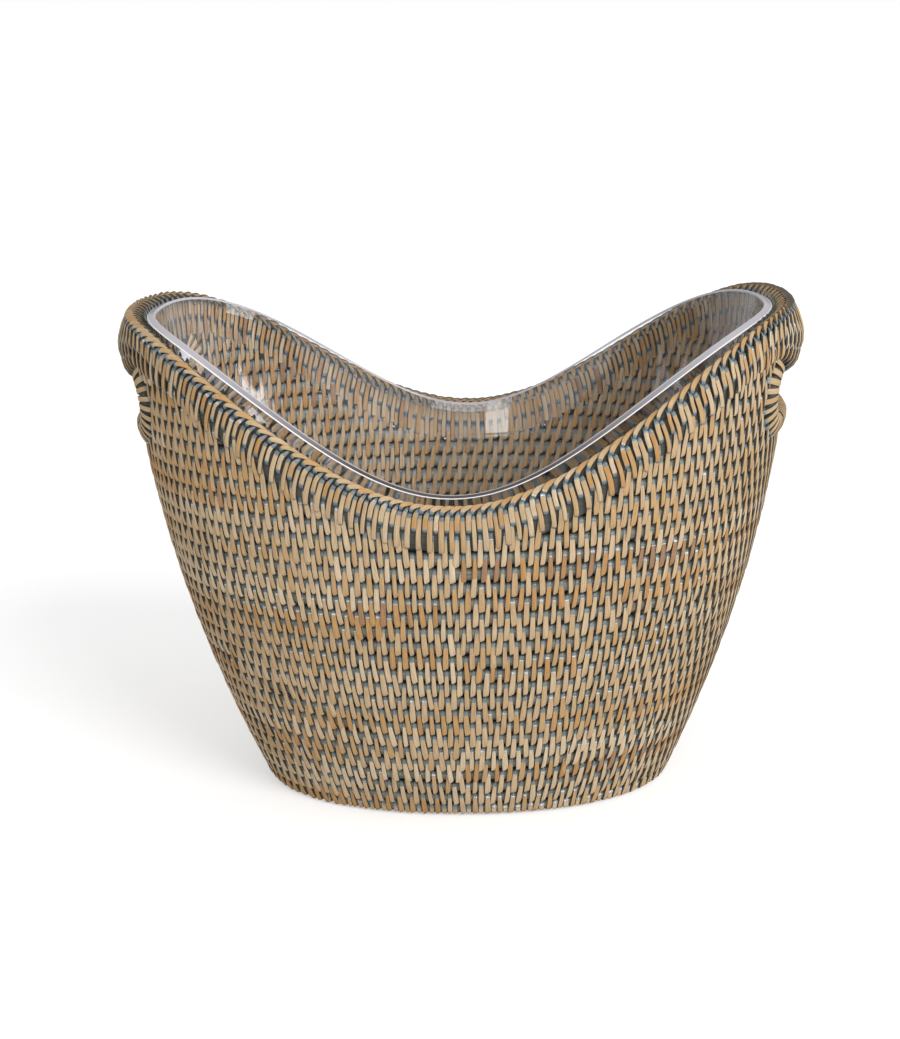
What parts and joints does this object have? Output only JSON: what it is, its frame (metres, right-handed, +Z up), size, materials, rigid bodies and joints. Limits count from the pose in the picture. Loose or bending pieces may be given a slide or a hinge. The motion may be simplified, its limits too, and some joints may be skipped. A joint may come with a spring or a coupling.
{
  "type": "wicker champagne bucket",
  "caption": "Oval coiled-rattan bucket with a saddle rim, padded end grips over hand holes, and a clear liner that lifts out.",
  "frame": {"origin": "middle of the base, on the surface that the bucket stands on", "axes": "+X along the bucket's length towards the right-hand grip, -Y towards the front, +Z up"},
  "size_m": [0.3942, 0.2724, 0.285],
  "materials": {
    "cane": "weathered cane, grey-green in the recesses",
    "peel": "sanded rattan peel, satin",
    "acrylic": "clear polished acrylic"
  },
  "bodies": {
    "basket": {"base_coil": "cane", "corner_panel_back_left": "cane", "corner_panel_back_right": "cane", "corner_panel_front_left": "cane", "corner_panel_front_right": "cane", "end_course_left_21": "cane", "end_course_left_22": "cane", "end_course_left_23": "cane", "end_course_left_24": "cane", "end_course_left_25": "cane", "end_course_right_21": "cane", "end_course_right_22": "cane", "end_course_right_23": "cane", "end_course_right_24": "cane", "end_course_right_25": "cane", "grip_left": "peel", "grip_right": "peel", "handle_binding_left": "peel", "handle_binding_right": "peel", "rim_band_back": "peel", "rim_band_front": "peel", "rim_braid": "peel", "wall_course_01": "cane", "wall_course_02": "cane", "wall_course_03": "cane", "wall_course_04": "cane", "wall_course_05": "cane", "wall_course_06": "cane", "wall_course_07": "cane", "wall_course_08": "cane", "wall_course_09": "cane", "wall_course_10": "cane", "wall_course_11": "cane", "wall_course_12": "cane", "wall_course_13": "cane", "wall_course_14": "cane", "wall_course_15": "cane", "wall_course_16": "cane", "wall_course_17": "cane", "wall_course_18": "cane", "wall_course_19": "cane", "wall_course_20": "cane"},
    "liner": {"clear_liner": "acrylic"}
  },
  "joints": [
    {"name": "liner_lift", "type": "slide", "parent": "basket", "child": "liner", "axis": [0, 0, 1], "range_m": [0, 0.3]}
  ]
}
